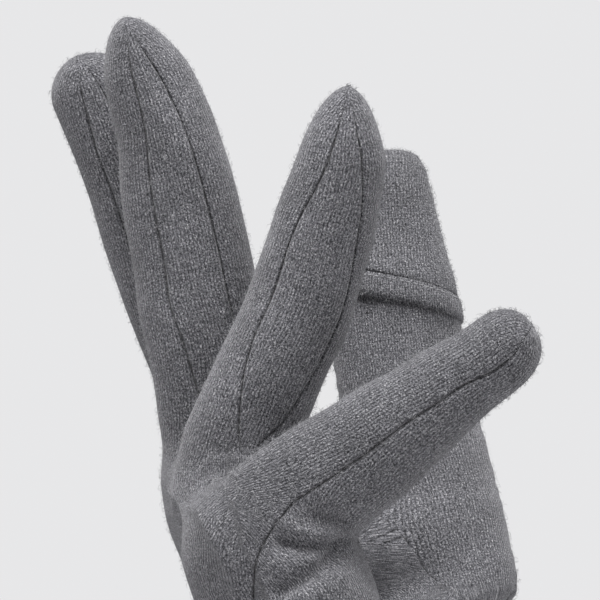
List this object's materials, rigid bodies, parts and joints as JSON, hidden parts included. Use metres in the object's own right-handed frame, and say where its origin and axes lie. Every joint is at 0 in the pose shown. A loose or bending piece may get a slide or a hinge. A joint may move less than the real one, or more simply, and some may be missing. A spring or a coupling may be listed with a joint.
{
  "type": "touchscreen glove",
  "caption": "Brushed knit right-hand glove with sewn fingers and a thumb cap that flips back to bare the thumb for a touchscreen.",
  "frame": {"origin": "centre of the cuff opening, in the plane of the cuff edge", "axes": "+Z from the cuff to the fingertips, -Y out of the palm, +X towards the thumb; the middle of the cuff section is on Z"},
  "size_m": [0.1193, 0.1095, 0.2371],
  "materials": {
    "knit": "brushed heather grey jersey",
    "knit_rib": "turned and doubled grey jersey",
    "thread": "grey sewing thread"
  },
  "bodies": {
    "hand": {"hand_back": "knit", "hand_palm": "knit", "thumb_gusset": "knit", "cuff_hem_back": "knit_rib", "cuff_hem_palm": "knit_rib", "cuff_stitch": "thread"},
    "index": {"index_back": "knit", "index_front": "knit", "index_fourchette": "knit"},
    "middle": {"middle_back": "knit", "middle_front": "knit", "middle_index_fourchette": "knit", "middle_ring_fourchette": "knit"},
    "ring": {"ring_back": "knit", "ring_front": "knit", "ring_middle_fourchette": "knit", "ring_little_fourchette": "knit"},
    "little": {"little_back": "knit", "little_front": "knit", "little_fourchette": "knit"},
    "thumb": {"thumb_sleeve_back": "knit", "thumb_sleeve_front": "knit", "thumb_sleeve_edge": "knit_rib"},
    "thumb_cap": {"cap_back": "knit", "cap_front": "knit", "cap_hem": "knit_rib", "cap_stitch": "thread"}
  },
  "joints": [
    {"name": "index_root", "type": "hinge", "parent": "hand", "child": "index", "pos_m": [0.031, 0.0345, 0.143], "axis": [1, 0, 0], "range_deg": [-12, 66]},
    {"name": "middle_root", "type": "hinge", "parent": "hand", "child": "middle", "pos_m": [0.01, 0.0365, 0.143], "axis": [1, 0, 0], "range_deg": [-20, 60]},
    {"name": "ring_root", "type": "hinge", "parent": "hand", "child": "ring", "pos_m": [-0.011, 0.032, 0.138], "axis": [1, 0, 0], "range_deg": [-40, 46]},
    {"name": "little_root", "type": "hinge", "parent": "hand", "child": "little", "pos_m": [-0.031, 0.0225, 0.127], "axis": [1, 0, 0], "range_deg": [-62, 26]},
    {"name": "thumb_root", "type": "hinge", "parent": "hand", "child": "thumb", "pos_m": [0.046, -0.017, 0.114], "axis": [1, 0, 0], "range_deg": [-16, 22]},
    {"name": "cap_hinge", "type": "hinge", "parent": "thumb", "child": "thumb_cap", "pos_m": [0.07256, -0.0058, 0.17049], "axis": [0, 0.9948, -0.1021], "range_deg": [0, 150]}
  ]
}
